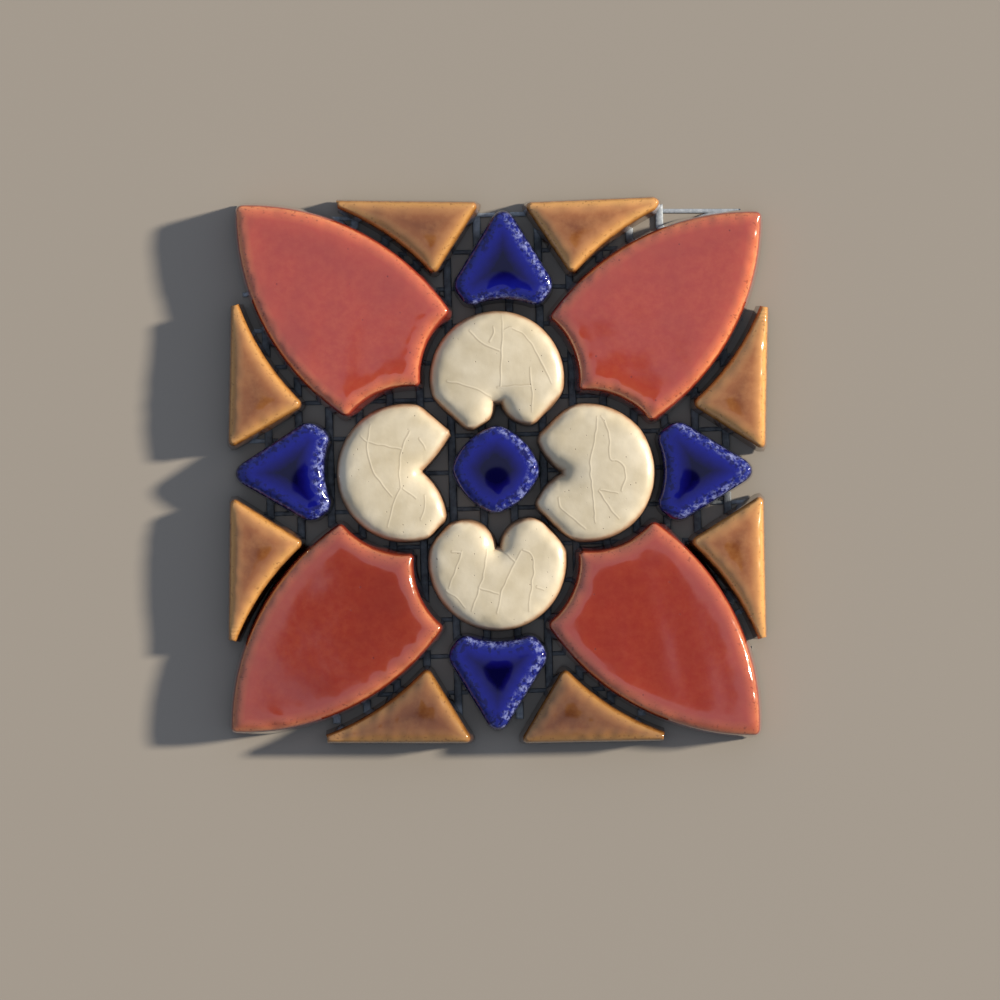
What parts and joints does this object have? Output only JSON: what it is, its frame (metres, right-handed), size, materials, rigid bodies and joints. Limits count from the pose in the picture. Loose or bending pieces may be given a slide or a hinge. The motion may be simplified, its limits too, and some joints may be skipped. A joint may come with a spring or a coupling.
{
  "type": "mosaic panel",
  "caption": "Square flower mosaic of hand-cut glazed ceramic tiles with open joints, bedded on a trimmed glass-fibre net.",
  "frame": {"origin": "middle of the panel's outline, on the plane of the net's underside", "axes": "+Z out of the glazed face, +Y towards the top edge, +X towards the right edge seen from above"},
  "size_m": [0.0984, 0.0996, 0.0085],
  "materials": {
    "cream_glaze": "crackled cream glaze, satin, fine cracks and pinholes",
    "red_glaze": "glossy red-orange glaze, breaking to pale orange at the edges",
    "blue_glaze": "glossy cobalt glaze, pooled dark in the middle, pale and speckled at the edges",
    "amber_glaze": "glossy honey glaze, deeper where it pools",
    "net": "coated glass-fibre net, pale blue-grey, matt"
  },
  "bodies": {
    "root": {"backing_net": "net", "blue_centre_tile": "blue_glaze", "cream_petal_top": "cream_glaze", "blue_wedge_top": "blue_glaze", "red_petal_top_right": "red_glaze", "amber_piece_top_right": "amber_glaze", "amber_piece_top_left": "amber_glaze", "cream_petal_right": "cream_glaze", "blue_wedge_right": "blue_glaze", "red_petal_bottom_right": "red_glaze", "amber_piece_right_lower": "amber_glaze", "amber_piece_right_upper": "amber_glaze", "cream_petal_bottom": "cream_glaze", "blue_wedge_bottom": "blue_glaze", "red_petal_bottom_left": "red_glaze", "amber_piece_bottom_left": "amber_glaze", "amber_piece_bottom_right": "amber_glaze", "cream_petal_left": "cream_glaze", "blue_wedge_left": "blue_glaze", "red_petal_top_left": "red_glaze", "amber_piece_left_upper": "amber_glaze", "amber_piece_left_lower": "amber_glaze"}
  },
  "joints": []
}
